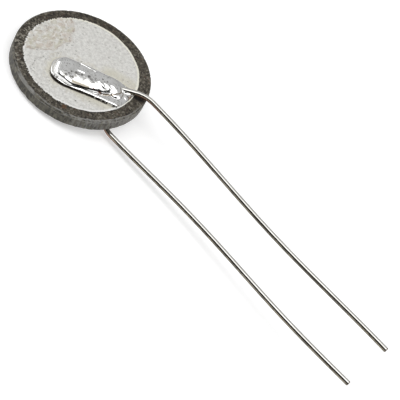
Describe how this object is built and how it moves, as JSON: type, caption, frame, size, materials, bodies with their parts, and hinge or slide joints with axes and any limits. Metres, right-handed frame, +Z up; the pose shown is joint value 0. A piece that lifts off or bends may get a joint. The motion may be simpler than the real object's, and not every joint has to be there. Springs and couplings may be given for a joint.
{
  "type": "ptc resettable fuse",
  "caption": "Bare round ceramic PTC disc with silvered faces and two kinked, soldered radial wire leads.",
  "frame": {"origin": "middle of the bounding box, on the table that the part lies on", "axes": "+X along the leads to their cut ends, +Z up from the table, the front face of the disc upwards"},
  "size_m": [0.0534, 0.016, 0.0068],
  "materials": {
    "ceramic": "matte sintered ceramic, dark grey with fine brown and black specks, chipped at the edge",
    "fired_silver": "matte fired silver, mottled, with a beige stain and fine specks",
    "solder": "bright flowed solder, smooth and mirror-like",
    "tinned_wire": "bright tinned wire with faint drawing lines"
  },
  "bodies": {
    "root": {"ceramic_disc": "ceramic", "front_electrode": "fired_silver", "rear_electrode": "fired_silver", "front_solder": "solder", "rear_solder": "solder", "front_lead": "tinned_wire", "rear_lead": "tinned_wire"}
  },
  "joints": []
}
